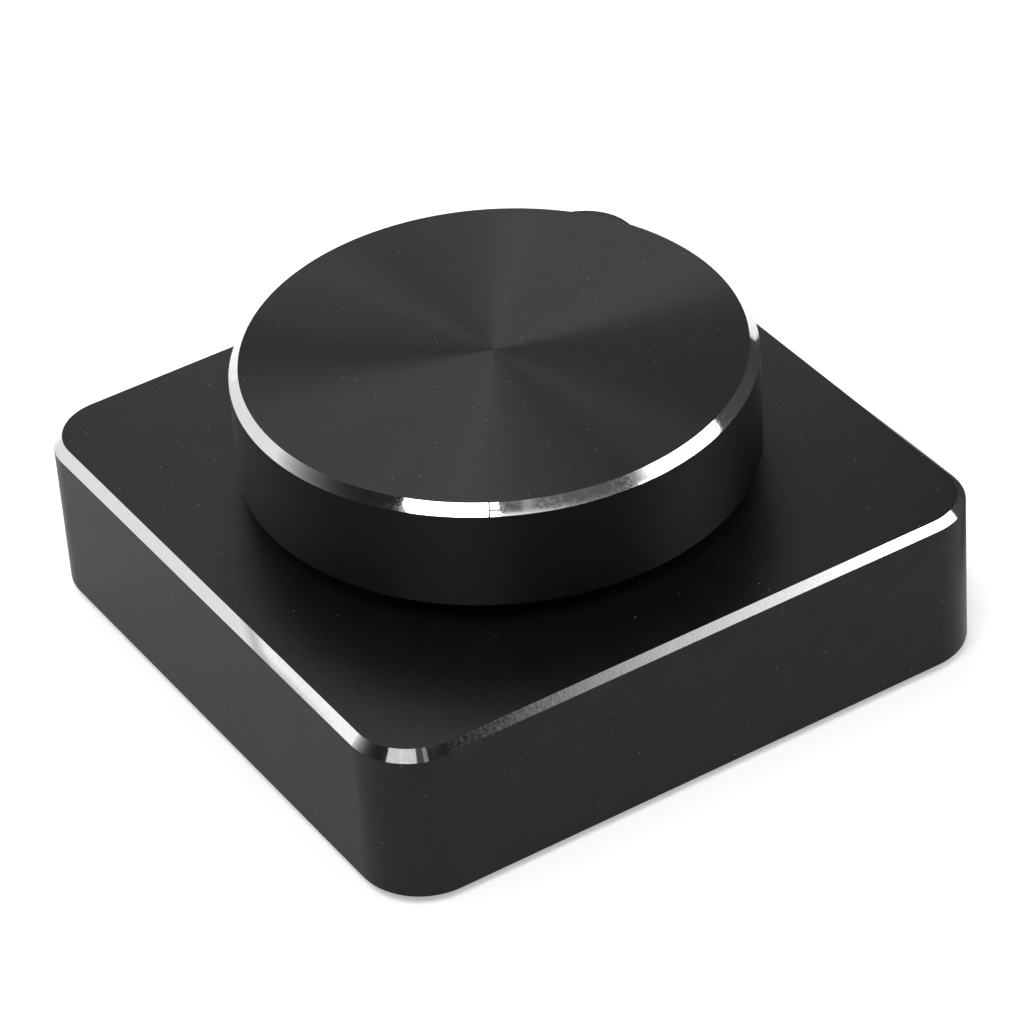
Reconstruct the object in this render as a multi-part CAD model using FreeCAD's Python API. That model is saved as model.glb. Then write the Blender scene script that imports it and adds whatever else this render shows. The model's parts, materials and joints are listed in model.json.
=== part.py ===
import FreeCAD, Part
import math
import os

# A desk volume knob: a square hollow base that stands on four feet, and a round knob that turns
# without limit and can be pressed. All sizes are in millimetres. +Z is up along the knob's axis,
# the feet stand on z = 0, the front looks towards -Y and the USB socket is in the rear (+Y) wall.

# Base housing, machined from one block
base_side = 72.0
base_height = 18.0
base_corner_radius = 7.0
base_top_chamfer = 0.95
base_bottom_chamfer = 0.2
base_wall = 2.5
base_roof = 2.5
pocket_corner_radius = 3.0
post_inset = 6.0            # centre of a corner post, from the base's outer faces
post_radius = 5.5

# Bottom plate, its screws and the feet
plate_thickness = 2.0
plate_rim = 1.3             # width of the housing's edge around the plate
plate_clearance = 0.15
plate_screw_length = 8.0
plate_screw_radius = 1.5
plate_screw_head_radius = 2.8
plate_screw_pitch = 0.5
foot_radius = 5.0
foot_thickness = 1.4
foot_recess = 0.6
foot_edge_round = 0.3
foot_from_screw = 8.0       # along X and along Y, from a plate screw's centre to a foot's centre

# Knob
knob_diameter = 54.0
knob_height = 12.0
knob_gap = 2.0              # between the base's top and the knob's lower edge
knob_chamfer = 1.0
knob_lower_chamfer = 0.2
knob_wall = 3.0
knob_roof = 2.5
press_travel = 0.5

# Plastic insert between the knob and the shaft
insert_radius = 7.0
insert_boss_wall = 2.0
insert_key_width = 2.0
insert_key_depth = 0.9
insert_above_bushing = 0.5  # gap that is left above the bushing when the knob is pressed

# Encoder shaft
shaft_radius = 3.0
shaft_flat = 1.5            # from the axis to the flat of the D
shaft_end_gap = 0.4         # between the shaft's end and the knob's roof
shaft_end_chamfer = 0.5
collar_step = 0.6           # how far the collar stands out of the shaft
collar_thickness = 0.45
drive_radius = 1.9          # lower part of the shaft, with two flats that turn the rotor
drive_flat = 1.4
plunger_radius = 1.1

# Encoder bushing, washer and nut
bushing_wall = 0.45
bushing_pitch = 0.75
bushing_above_nut = 0.8
flange_thickness = 0.8
washer_thickness = 0.5
washer_width = 2.4
nut_thickness = 2.0
nut_across_flats = 10.0
nut_chamfer = 0.35

# Encoder frame, body and what they hold
frame_thickness = 0.6
frame_leg_thickness = 0.5
frame_leg_width = 2.2
frame_skirt_width = 8.0
frame_leg_below_board = 1.0
body_wall = 0.65
body_end_wall = 1.1
body_floor = 0.6
track_width = 1.15          # of the rotor, outside the recess for the shaft's collar
rotor_thickness = 1.2
rotor_hub_wall = 0.65
rotor_recess_spare = 0.07   # under the collar when the knob is pressed
detent_count = 24
detent_radius = 0.3
detent_groove_radius = 0.4
detent_spring_thickness = 0.2
code_ring_thickness = 0.25
code_ring_margin = 0.2
brush_space = 0.85          # between the body's floor and the code ring
brush_thickness = 0.1
brush_width = 0.6
brush_length = 2.8
brush_count = 3
terminal_width = 0.8
terminal_thickness = 0.4
terminal_reach = 1.1
terminal_pitch = 2.5
terminal_height = 0.8       # of the terminals above the board where they leave the body
terminal_below_board = 1.0

# Push switch under the encoder
switch_height = 1.9
switch_floor = 0.35
contact_thickness = 0.12
contact_disc_radius = 0.8
contact_ring_width = 0.6
dome_radius = 2.6
dome_height = 0.6
dome_crown_radius = 0.7
dome_thickness = 0.08

# Circuit board and its screws
board_thickness = 1.6
board_side_gap = 9.5        # between the board and the housing's inner side walls
board_front_gap = 7.5
board_rear_gap = 0.5
board_corner_radius = 1.5
board_post_gap = 0.6
board_screw_inset = 5.0
board_screw_length = 6.0
board_screw_radius = 1.25
board_screw_head_radius = 2.25
board_screw_head_height = 1.4
board_screw_pitch = 0.45
boss_radius = 2.8

# Parts under the board
controller_side = 7.0
controller_height = 1.3
controller_from_edge = 6.0  # between the board's left edge and the controller
controller_y = 9.5
lead_pitch = 0.8
lead_width = 0.3
lead_thickness = 0.15
lead_reach = 1.0
leads_per_side = 8
small_chip_length = 2.9
small_chip_width = 1.6
small_chip_height = 1.1
small_lead_pitch = 0.95
crystal_size = (3.2, 2.5, 0.7)
crystal_from_controller = 3.0
bulk_capacitor_size = (3.2, 1.6, 1.5)
chip_capacitor_size = (1.6, 0.8, 0.8)
chip_resistor_size = (1.6, 0.8, 0.45)
chip_row_count = 6
chip_row_pitch = 2.6
capacitor_row_from_edge = 8.0
resistor_row_from_edge = 5.0
part_above_solder = 0.05    # height of the parts' bodies off the board
socket_parts_gap = 4.0      # between the socket's rear end and the row of parts behind it
socket_parts_pitch = 5.5

# USB Type-C socket, a standard size
socket_width = 8.94
socket_opening_height = 2.56
socket_wall = 0.3
socket_length = 7.35
socket_recess = 0.3         # of the mouth behind the base's rear face
socket_slot_gap = 0.25
socket_leg_width = 1.0
socket_leg_places = (0.9, 3.0)
socket_leg_below_board = 0.8
socket_block_length = 2.0
tongue_width = 6.69
tongue_thickness = 0.6
tongue_recess = 1.0
socket_contact_count = 12
socket_contact_pitch = 0.5
socket_contact_width = 0.26
socket_contact_thickness = 0.05
socket_tail_length = 0.9

# Clearances shared by the fits
shaft_clearance = 0.05      # radial, shaft in bushing
drive_clearance = 0.05
insert_clearance = 0.03
screw_clearance = 0.05
pass_clearance = 0.1        # a part that passes through a hole
solder_gap = 0.2            # a lead in its hole or slot
stop_gap = 0.03             # between faces that stop on each other
rotor_gap = 0.1
collar_clearance = 0.15
body_clearance = 0.2

# Levels, from the floor up
base_bottom = foot_thickness - foot_recess
base_top = base_bottom + base_height
base_ceiling = base_top - base_roof
plate_top = base_bottom + plate_thickness
knob_bottom = base_top + knob_gap
knob_top = knob_bottom + knob_height
knob_ceiling = knob_top - knob_roof
washer_top = base_top + washer_thickness
nut_top = washer_top + nut_thickness
bushing_top = nut_top + bushing_above_nut
insert_bottom = bushing_top + press_travel + insert_above_bushing
shaft_top = knob_ceiling - shaft_end_gap

# Levels inside the encoder, from its mounting face down to the board
frame_under = base_ceiling - frame_thickness
flange_under = frame_under - flange_thickness
spring_under = flange_under - detent_spring_thickness
rotor_top = spring_under - rotor_gap
rotor_under = rotor_top - rotor_thickness
code_ring_under = rotor_under - code_ring_thickness
body_floor_top = code_ring_under - brush_space
switch_top = body_floor_top - body_floor
board_top = switch_top - switch_height
board_under = board_top - board_thickness
collar_top = flange_under - stop_gap
collar_under = collar_top - collar_thickness
rotor_recess_floor = collar_under - press_travel - rotor_recess_spare
hub_under = body_floor_top + rotor_gap
switch_floor_top = board_top + switch_floor
contact_top = switch_floor_top + contact_thickness
dome_top = contact_top + dome_height
plunger_under = dome_top + stop_gap

# Radii inside the encoder, from the shaft outwards
bushing_bore = shaft_radius + shaft_clearance
bushing_radius = bushing_bore + bushing_wall
collar_radius = shaft_radius + collar_step
rotor_recess_radius = collar_radius + collar_clearance
rotor_radius = rotor_recess_radius + track_width
body_cavity_radius = rotor_radius + body_clearance
flange_radius = body_cavity_radius - pass_clearance
hub_bore = drive_radius + drive_clearance
hub_radius = hub_bore + rotor_hub_wall
code_ring_inner = hub_radius + code_ring_margin
code_ring_outer = rotor_radius - code_ring_margin
body_half_x = body_cavity_radius + body_wall
body_half_y = body_cavity_radius + body_end_wall
switch_cavity_radius = dome_radius + body_clearance
insert_bore = insert_radius + insert_clearance

# Places in plan
half_side = base_side / 2
inner_half = half_side - base_wall
post_place = half_side - post_inset
foot_place = post_place - foot_from_screw
plate_side = base_side - 2 * (plate_rim + plate_clearance)
board_half_x = inner_half - board_side_gap
board_front = board_front_gap - inner_half
board_rear = inner_half - board_rear_gap
board_screw_x = board_half_x - board_screw_inset
board_screw_ys = (board_front + board_screw_inset, board_rear - board_screw_inset)
controller_x = controller_from_edge + controller_side / 2 - board_half_x
socket_height = socket_opening_height + 2 * socket_wall
socket_mouth = half_side - socket_recess
socket_back = socket_mouth - socket_length
socket_middle = board_top + socket_height / 2
socket_parts_y = socket_back - socket_parts_gap


def vector(x, y, z):
    return FreeCAD.Vector(x, y, z)


def cylinder(radius, low, high, x=0.0, y=0.0):
    return Part.makeCylinder(radius, high - low, vector(x, y, low))


def block(x_low, x_high, y_low, y_high, z_low, z_high):
    size = (x_high - x_low, y_high - y_low, z_high - z_low)
    return Part.makeBox(*size, vector(x_low, y_low, z_low))


def block_at(x, y, length, width, low, high):
    """A block centred on (x, y) in plan."""
    return block(x - length / 2, x + length / 2, y - width / 2, y + width / 2, low, high)


def revolved(points):
    """A solid turned about Z from (radius, height) points, in order around its half section."""
    outline = [vector(radius, 0, height) for radius, height in points]
    face = Part.Face(Part.makePolygon(outline + outline[:1]))
    return face.revolve(vector(0, 0, 0), vector(0, 0, 1), 360)


def extruded(points, direction):
    """A solid swept along a direction from a flat outline of 3-D points."""
    face = Part.Face(Part.makePolygon(points + points[:1]))
    return face.extrude(direction)


def rounded_square(side, corner_radius, low, high):
    half = side / 2
    return rounded_block(-half, half, -half, half, low, high, corner_radius)


def rounded_block(x_low, x_high, y_low, y_high, z_low, z_high, corner_radius):
    """A block whose four upright edges are rounded."""
    solid = block(x_low, x_high, y_low, y_high, z_low, z_high)
    upright = [edge for edge in solid.Edges if abs(edge.tangentAt(edge.FirstParameter).z) > 0.9]
    return solid.makeFillet(corner_radius, upright)


def edges_at(solid, height):
    """The edges that lie flat at one height."""
    return [edge for edge in solid.Edges
            if abs(edge.BoundBox.ZMin - height) < 1e-6 and abs(edge.BoundBox.ZMax - height) < 1e-6]


def turned(solid, degrees, x=0.0, y=0.0):
    """A copy turned about the upright line through (x, y)."""
    copy = solid.copy()
    copy.rotate(vector(x, y, 0), vector(0, 0, 1), degrees)
    return copy


def moved(solid, x, y, z=0.0):
    copy = solid.copy()
    copy.translate(vector(x, y, z))
    return copy


def around_axis(solid, count):
    """Copies spaced evenly around the knob's axis."""
    return [turned(solid, 360.0 * index / count) for index in range(count)]


def four_places(x, y):
    return [(side_x * x, side_y * y) for side_x in (-1, 1) for side_y in (-1, 1)]


def corner_places():
    return four_places(post_place, post_place)


def board_screw_places():
    return [(side * board_screw_x, y) for side in (-1, 1) for y in board_screw_ys]


def ring_thread(radius, low, high, pitch):
    """(radius, height) points up a thread, which is cut as plain V rings."""
    depth = pitch / 4
    points = []
    for index in range(int((high - low) / pitch)):
        start = low + index * pitch
        points += [(radius, start + pitch * 0.1), (radius - depth, start + pitch * 0.5),
                   (radius, start + pitch * 0.9)]
    return points


def cross_recess(size, low, high):
    """The cross-shaped driver recess of a screw head."""
    width = size / 4
    return block_at(0, 0, size, width, low, high).fuse(block_at(0, 0, width, size, low, high))


def stadium_prism(width, height, y_low, y_high):
    """A bar along Y with full-round sides, its middle at the socket's middle height."""
    radius = height / 2
    reach = width / 2 - radius
    high = socket_middle + radius
    low = socket_middle - radius
    edges = [Part.LineSegment(vector(-reach, y_low, low), vector(reach, y_low, low)),
             Part.Arc(vector(reach, y_low, low), vector(reach + radius, y_low, socket_middle),
                      vector(reach, y_low, high)),
             Part.LineSegment(vector(reach, y_low, high), vector(-reach, y_low, high)),
             Part.Arc(vector(-reach, y_low, high), vector(-reach - radius, y_low, socket_middle),
                      vector(-reach, y_low, low))]
    face = Part.Face(Part.Wire([edge.toShape() for edge in edges]))
    return face.extrude(vector(0, y_high - y_low, 0))


# Base

def base_pocket():
    """The hollow under the roof, less the corner posts and the board's bosses."""
    side = 2 * inner_half
    pocket = rounded_square(side, pocket_corner_radius, base_bottom, base_ceiling)
    posts = [cylinder(post_radius, base_bottom, base_ceiling, x, y) for x, y in corner_places()]
    bosses = [cylinder(boss_radius, board_top, base_ceiling, x, y) for x, y in board_screw_places()]
    return pocket.cut(Part.makeCompound(posts)).cut(Part.makeCompound(bosses))


def base_housing():
    solid = rounded_square(base_side, base_corner_radius, base_bottom, base_top)
    solid = solid.makeChamfer(base_top_chamfer, edges_at(solid, base_top))
    solid = solid.makeChamfer(base_bottom_chamfer, edges_at(solid, base_bottom))
    rabbet_side = base_side - 2 * plate_rim
    rabbet = rounded_square(rabbet_side, base_corner_radius - plate_rim, base_bottom, plate_top)
    plate_hole_top = base_bottom + plate_screw_length + 1.0
    board_hole_top = board_under + board_screw_length + 0.5
    holes = [cylinder(plate_screw_radius + screw_clearance, plate_top, plate_hole_top, x, y)
             for x, y in corner_places()]
    holes += [cylinder(board_screw_radius + screw_clearance, board_top, board_hole_top, x, y)
              for x, y in board_screw_places()]
    holes.append(cylinder(bushing_radius + pass_clearance, base_ceiling, base_top))
    slot_width = socket_width + 2 * socket_slot_gap
    slot_height = socket_height + 2 * socket_slot_gap
    holes.append(stadium_prism(slot_width, slot_height, inner_half, half_side))
    return solid.cut(rabbet).cut(base_pocket()).cut(Part.makeCompound(holes))


def countersunk_profile(extra):
    """Half section of a countersunk head and its shank, widened by a clearance."""
    head = plate_screw_head_radius + extra
    shank = plate_screw_radius + extra
    neck = base_bottom + head - shank
    return [(0, base_bottom), (head, base_bottom), (shank, neck)]


def bottom_plate():
    corner_radius = base_corner_radius - plate_rim - plate_clearance
    plate = rounded_square(plate_side, corner_radius, base_bottom, plate_top)
    shank = plate_screw_radius + pass_clearance
    tool = revolved(countersunk_profile(pass_clearance) + [(shank, plate_top), (0, plate_top)])
    holes = [moved(tool, x, y) for x, y in corner_places()]
    recess_top = base_bottom + foot_recess
    recess_radius = foot_radius + plate_clearance
    holes += [cylinder(recess_radius, base_bottom, recess_top, x, y)
              for x, y in four_places(foot_place, foot_place)]
    return plate.cut(Part.makeCompound(holes))


def plate_screws():
    tip = base_bottom + plate_screw_length
    shank = ring_thread(plate_screw_radius, plate_top, tip - plate_screw_pitch, plate_screw_pitch)
    profile = countersunk_profile(0.0) + shank + [(plate_screw_radius * 0.7, tip), (0, tip)]
    recess = cross_recess(plate_screw_head_radius, base_bottom, base_bottom + 1.0)
    screw = revolved(profile).cut(recess)
    return Part.makeCompound([moved(screw, x, y) for x, y in corner_places()])


def rubber_feet():
    foot = cylinder(foot_radius, 0.0, foot_thickness)
    foot = foot.makeFillet(foot_edge_round, edges_at(foot, 0.0))
    return Part.makeCompound([moved(foot, x, y) for x, y in four_places(foot_place, foot_place)])


# Knob

def insert_keys(extra):
    """The two keys that stop the insert from turning in the knob."""
    reach = 2 * (insert_radius + insert_key_depth + extra)
    width = insert_key_width + 2 * extra
    return block_at(0, 0, reach, width, insert_bottom, knob_ceiling)


def knob_cap():
    radius = knob_diameter / 2
    inner = radius - knob_wall
    boss = insert_bore + insert_boss_wall
    outside = [(radius - knob_lower_chamfer, knob_bottom), (radius, knob_bottom + knob_lower_chamfer),
               (radius, knob_top - knob_chamfer), (radius - knob_chamfer, knob_top), (0, knob_top)]
    inside = [(0, knob_ceiling), (insert_bore, knob_ceiling), (insert_bore, insert_bottom),
              (boss, insert_bottom), (boss, knob_ceiling), (inner, knob_ceiling), (inner, knob_bottom)]
    return revolved(outside + inside).cut(insert_keys(insert_clearance))


def d_section(clearance, low, high):
    """The D of the shaft's upper end, widened by a clearance."""
    radius = shaft_radius + clearance
    flat = shaft_flat + clearance
    return cylinder(radius, low, high).cut(block(-2 * radius, 2 * radius, flat, 2 * radius, low, high))


def knob_insert():
    sleeve = cylinder(insert_radius, insert_bottom, knob_ceiling).fuse(insert_keys(0.0))
    return sleeve.cut(d_section(insert_clearance, insert_bottom, knob_ceiling)).removeSplitter()


# Encoder

def drive_section(clearance, low, high):
    """The part of the shaft with two flats, widened by a clearance."""
    radius = drive_radius + clearance
    flat = drive_flat + clearance
    return cylinder(radius, low, high).common(block(-radius, radius, -flat, flat, low, high))


def encoder_shaft():
    d_bottom = insert_bottom - press_travel
    round_part = cylinder(shaft_radius, collar_top, d_bottom)
    d_part = d_section(0.0, d_bottom, shaft_top)
    tip = revolved([(0, d_bottom), (shaft_radius, d_bottom), (shaft_radius, shaft_top - shaft_end_chamfer),
                    (shaft_radius - shaft_end_chamfer, shaft_top), (0, shaft_top)])
    collar = cylinder(collar_radius, collar_under, collar_top)
    drive = drive_section(0.0, hub_under, collar_under)
    plunger = cylinder(plunger_radius, plunger_under, hub_under)
    return round_part.fuse([d_part.common(tip), collar, drive, plunger]).removeSplitter()


def encoder_bushing():
    thread = ring_thread(bushing_radius, base_ceiling, bushing_top, bushing_pitch)
    outside = [(flange_radius, flange_under), (flange_radius, frame_under),
               (bushing_radius, frame_under)] + thread + [(bushing_radius, bushing_top)]
    return revolved([(bushing_bore, flange_under)] + outside + [(bushing_bore, bushing_top)])


def encoder_washer():
    bore = bushing_radius + pass_clearance
    washer = cylinder(bore + washer_width, base_top, washer_top)
    return washer.cut(cylinder(bore, base_top, washer_top))


def encoder_nut():
    inner = nut_across_flats / 2
    corner = inner / math.cos(math.radians(30))
    angles = [math.radians(60 * index) for index in range(6)]
    outline = [vector(corner * math.cos(angle), corner * math.sin(angle), washer_top) for angle in angles]
    hexagon = extruded(outline, vector(0, 0, nut_thickness))
    turned_blank = revolved([(0, washer_top), (inner, washer_top), (corner, washer_top + nut_chamfer),
                             (corner, nut_top - nut_chamfer), (inner, nut_top), (0, nut_top)])
    return hexagon.common(turned_blank).cut(cylinder(bushing_radius + screw_clearance, washer_top, nut_top))


def frame_leg_place():
    """X of the outer face of the encoder frame's legs."""
    return body_half_x + screw_clearance + frame_leg_thickness


def encoder_frame():
    outer = frame_leg_place()
    inner = outer - frame_leg_thickness
    plate = block(-outer, outer, -body_half_y, body_half_y, frame_under, base_ceiling)
    plate = plate.cut(cylinder(bushing_radius + screw_clearance, frame_under, base_ceiling))
    skirt_half = frame_skirt_width / 2
    leg_half = frame_leg_width / 2
    leg_end = board_under - frame_leg_below_board
    skirt = block(inner, outer, -skirt_half, skirt_half, switch_top, frame_under)
    leg = block(inner, outer, -leg_half, leg_half, leg_end, switch_top)
    side = skirt.fuse(leg)
    return plate.fuse([side, turned(side, 180)]).removeSplitter()


def encoder_block(low, high):
    return block(-body_half_x, body_half_x, -body_half_y, body_half_y, low, high)


def encoder_body():
    solid = encoder_block(switch_top, frame_under)
    cavity = cylinder(body_cavity_radius, body_floor_top, frame_under)
    hole = cylinder(drive_radius + body_clearance, switch_top, body_floor_top)
    return solid.cut(cavity).cut(hole)


def encoder_rotor():
    disc = cylinder(rotor_radius, rotor_under, rotor_top)
    hub = cylinder(hub_radius, hub_under, rotor_under)
    recess = cylinder(rotor_recess_radius, rotor_recess_floor, rotor_top)
    bore = drive_section(drive_clearance, hub_under, rotor_top)
    groove = Part.makeCylinder(detent_groove_radius, rotor_radius, vector(0, 0, spring_under),
                               vector(1, 0, 0))
    grooves = Part.makeCompound(around_axis(groove, detent_count))
    return disc.fuse(hub).cut(recess).cut(bore).cut(grooves).removeSplitter()


def encoder_detent_spring():
    inner = rotor_recess_radius + rotor_gap
    outer = rotor_radius - rotor_gap
    ring = cylinder(outer, spring_under, flange_under).cut(cylinder(inner, spring_under, flange_under))
    bump = Part.makeCylinder(detent_radius, outer - inner - 2 * rotor_gap,
                             vector(inner + rotor_gap, 0, spring_under), vector(1, 0, 0))
    lower_half = bump.common(block(0, outer, -outer, outer, rotor_under, spring_under))
    return ring.fuse([lower_half, turned(lower_half, 180)]).removeSplitter()


def code_ring():
    """A contact ring with one window per click around its outer half."""
    ring = cylinder(code_ring_outer, code_ring_under, rotor_under)
    ring = ring.cut(cylinder(code_ring_inner, code_ring_under, rotor_under))
    middle = (code_ring_inner + code_ring_outer) / 2
    width = math.pi * middle / detent_count
    window = block(middle, code_ring_outer - code_ring_margin, -width / 2, width / 2,
                   code_ring_under, rotor_under)
    return ring.cut(Part.makeCompound(around_axis(window, detent_count)))


def encoder_brushes():
    """Spring fingers that rise from the body's floor to the code ring."""
    foot = body_floor_top
    tip = code_ring_under - stop_gap - brush_thickness
    middle = (code_ring_inner + code_ring_outer) / 2
    start = -brush_length / 2
    path = [(start, foot), (start + brush_length * 0.3, foot), (start + brush_length * 0.85, tip),
            (-start, tip)]
    outline = [vector(middle - brush_width / 2, y, z) for y, z in path]
    outline += [vector(middle - brush_width / 2, y, z + brush_thickness) for y, z in reversed(path)]
    finger = extruded(outline, vector(brush_width, 0, 0))
    return Part.makeCompound(around_axis(finger, brush_count))


def terminal_places():
    """(x, side) of each terminal: three of the encoder in front, two of the switch behind."""
    front = [(index * terminal_pitch, -1) for index in (-1, 0, 1)]
    rear = [(index * terminal_pitch, 1) for index in (-1, 1)]
    return front + rear


def encoder_terminals():
    low = board_top + terminal_height
    high = low + terminal_thickness
    reach = body_half_y + terminal_reach
    half = terminal_width / 2
    arm = block(-half, half, body_half_y, reach, low, high)
    pin = block(-half, half, reach - terminal_thickness, reach, board_under - terminal_below_board, low)
    terminal = arm.fuse(pin).removeSplitter()
    rear = [moved(terminal, x, 0) for x, side in terminal_places() if side > 0]
    front = [moved(turned(terminal, 180), x, 0) for x, side in terminal_places() if side < 0]
    return Part.makeCompound(rear + front)


# Push switch

def switch_base():
    cavity = cylinder(switch_cavity_radius, switch_floor_top, switch_top)
    return encoder_block(board_top, switch_top).cut(cavity)


def switch_contacts():
    """The centre contact, and the ring that carries the dome's rim."""
    disc = cylinder(contact_disc_radius, switch_floor_top, contact_top)
    ring = cylinder(dome_radius, switch_floor_top, contact_top)
    ring = ring.cut(cylinder(dome_radius - contact_ring_width, switch_floor_top, contact_top))
    return Part.makeCompound([disc, ring])


def switch_dome():
    shoulder = (dome_radius + dome_crown_radius) / 2
    bulge = contact_top + dome_height * 0.62
    top = [(dome_radius, contact_top + dome_thickness), (shoulder, bulge + dome_thickness),
           (dome_crown_radius, dome_top), (0, dome_top)]
    under = [(0, dome_top - dome_thickness), (dome_crown_radius, dome_top - dome_thickness),
             (shoulder, bulge), (dome_radius, contact_top)]
    rim = [(dome_radius - dome_thickness, contact_top), (dome_radius, contact_top)]
    return revolved(top + under[:-1] + rim)


# Circuit board

def socket_leg_boxes(extra, low, high):
    """The four legs of the socket's shell, widened by a gap."""
    outer = socket_width / 2
    boxes = []
    for place in socket_leg_places:
        y = socket_back + place
        leg = block(outer - socket_wall - extra, outer + extra,
                    y - socket_leg_width / 2 - extra, y + socket_leg_width / 2 + extra, low, high)
        boxes += [leg, leg.mirror(vector(0, 0, 0), vector(1, 0, 0))]
    return boxes


def frame_leg_slots():
    outer = frame_leg_place() + solder_gap
    inner = outer - frame_leg_thickness - 2 * solder_gap
    half = frame_leg_width / 2 + solder_gap
    slot = block(inner, outer, -half, half, board_under, board_top)
    return [slot, turned(slot, 180)]


def circuit_board():
    board = rounded_block(-board_half_x, board_half_x, board_front, board_rear,
                          board_under, board_top, board_corner_radius)
    corners = [cylinder(post_radius + board_post_gap, board_under, board_top, x, y)
               for x, y in corner_places()]
    holes = [cylinder(board_screw_radius + pass_clearance, board_under, board_top, x, y)
             for x, y in board_screw_places()]
    pin_y = body_half_y + terminal_reach - terminal_thickness / 2
    pin_hole = math.hypot(terminal_width, terminal_thickness) / 2 + solder_gap / 2
    holes += [cylinder(pin_hole, board_under, board_top, x, side * pin_y) for x, side in terminal_places()]
    slots = frame_leg_slots() + socket_leg_boxes(solder_gap, board_under, board_top)
    return board.cut(Part.makeCompound(corners)).cut(Part.makeCompound(holes + slots))


def board_screws():
    head_bottom = board_under - board_screw_head_height
    tip = board_under + board_screw_length
    thread = ring_thread(board_screw_radius, board_top, tip - board_screw_pitch, board_screw_pitch)
    profile = [(0, head_bottom), (board_screw_head_radius * 0.8, head_bottom),
               (board_screw_head_radius, head_bottom + board_screw_head_height * 0.4),
               (board_screw_head_radius, board_under), (board_screw_radius, board_under)]
    profile += thread + [(board_screw_radius * 0.7, tip), (0, tip)]
    recess = cross_recess(board_screw_head_radius, head_bottom, head_bottom + board_screw_head_height * 0.6)
    screw = revolved(profile).cut(recess)
    return Part.makeCompound([moved(screw, x, y) for x, y in board_screw_places()])


def under_board(x, y, size):
    """A surface-mounted part that hangs under the board."""
    length, width, height = size
    top = board_under - part_above_solder
    return block_at(x, y, length, width, top - height, top)


def small_chip_places():
    """Centres of the voltage regulator and the surge diode, behind the socket."""
    return [(socket_parts_pitch, socket_parts_y), (0.0, socket_parts_y)]


def small_chip(place):
    return under_board(*place, (small_chip_length, small_chip_width, small_chip_height))


def voltage_regulator():
    return small_chip(small_chip_places()[0])


def surge_diode():
    return small_chip(small_chip_places()[1])


def controller_chip():
    return under_board(controller_x, controller_y, (controller_side, controller_side, controller_height))


def bent_lead(body_height):
    """One lead in the plane of +X, from the body's side at x = 0 to its foot on the board."""
    middle = board_under - part_above_solder - body_height / 2
    knee = lead_reach * 0.35
    path = [(0, middle), (knee, middle), (lead_reach * 0.55, board_under - lead_thickness),
            (lead_reach, board_under - lead_thickness)]
    low = [vector(x, -lead_width / 2, z) for x, z in path]
    high = [vector(x, -lead_width / 2, z + lead_thickness) for x, z in reversed(path)]
    return extruded(low + high, vector(0, lead_width, 0))


def lead_row(lead, half_body, count, pitch):
    """Leads along one side of a body whose centre is the origin."""
    first = -pitch * (count - 1) / 2
    return [moved(lead, half_body, first + pitch * index) for index in range(count)]


def chip_leads():
    leads = []
    row = lead_row(bent_lead(controller_height), controller_side / 2, leads_per_side, lead_pitch)
    for quarter in range(4):
        leads += [moved(turned(lead, 90 * quarter), controller_x, controller_y) for lead in row]
    small_row = lead_row(bent_lead(small_chip_height), small_chip_width / 2, 3, small_lead_pitch)
    for x, y in small_chip_places():
        for degrees in (90, 270):
            leads += [moved(turned(lead, degrees), x, y) for lead in small_row]
    return Part.makeCompound(leads)


def crystal_can():
    y = controller_y - controller_side / 2 - lead_reach - crystal_from_controller
    return under_board(controller_x, y, crystal_size)


def bulk_capacitor():
    return under_board(-socket_parts_pitch, socket_parts_y, bulk_capacitor_size)


def chip_row(x, size):
    """A row of small parts along Y, beside the encoder."""
    first = -chip_row_pitch * (chip_row_count - 1) / 2
    row = [under_board(x, first + chip_row_pitch * index, size) for index in range(chip_row_count)]
    return Part.makeCompound(row)


def chip_capacitors():
    return chip_row(board_half_x - capacitor_row_from_edge, chip_capacitor_size)


def chip_resistors():
    return chip_row(board_half_x - resistor_row_from_edge, chip_resistor_size)


# USB socket

def socket_bore(clearance, y_low, y_high):
    """The space inside the socket's shell, less a clearance."""
    width = socket_width - 2 * (socket_wall + clearance)
    return stadium_prism(width, socket_opening_height - 2 * clearance, y_low, y_high)


def usb_socket_shell():
    tube = stadium_prism(socket_width, socket_height, socket_back, socket_mouth)
    legs = socket_leg_boxes(0.0, board_under - socket_leg_below_board, socket_middle)
    solid = tube.fuse(legs).cut(socket_bore(0.0, socket_back, socket_mouth))
    return solid.removeSplitter()


def usb_socket_insulator():
    block_end = socket_back + socket_block_length
    rear_block = socket_bore(insert_clearance, socket_back, block_end)
    tongue_end = socket_mouth - tongue_recess
    half = tongue_thickness / 2
    tongue = block(-tongue_width / 2, tongue_width / 2, block_end, tongue_end,
                   socket_middle - half, socket_middle + half)
    return rear_block.fuse(tongue).removeSplitter()


def usb_socket_contacts():
    """Contact strips on both faces of the tongue, and the solder tails behind the shell."""
    first = -socket_contact_pitch * (socket_contact_count - 1) / 2
    strip_start = socket_back + socket_block_length
    strip_end = socket_mouth - tongue_recess - socket_contact_width
    upper = socket_middle + tongue_thickness / 2
    lower = socket_middle - tongue_thickness / 2 - socket_contact_thickness
    pieces = []
    for index in range(socket_contact_count):
        x_low = first + socket_contact_pitch * index - socket_contact_width / 2
        x_high = x_low + socket_contact_width
        for low in (lower, upper):
            pieces.append(block(x_low, x_high, strip_start, strip_end, low, low + socket_contact_thickness))
        pieces.append(block(x_low, x_high, socket_back - socket_tail_length, socket_back,
                            board_top, board_top + lead_thickness))
    return Part.makeCompound(pieces)


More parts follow.
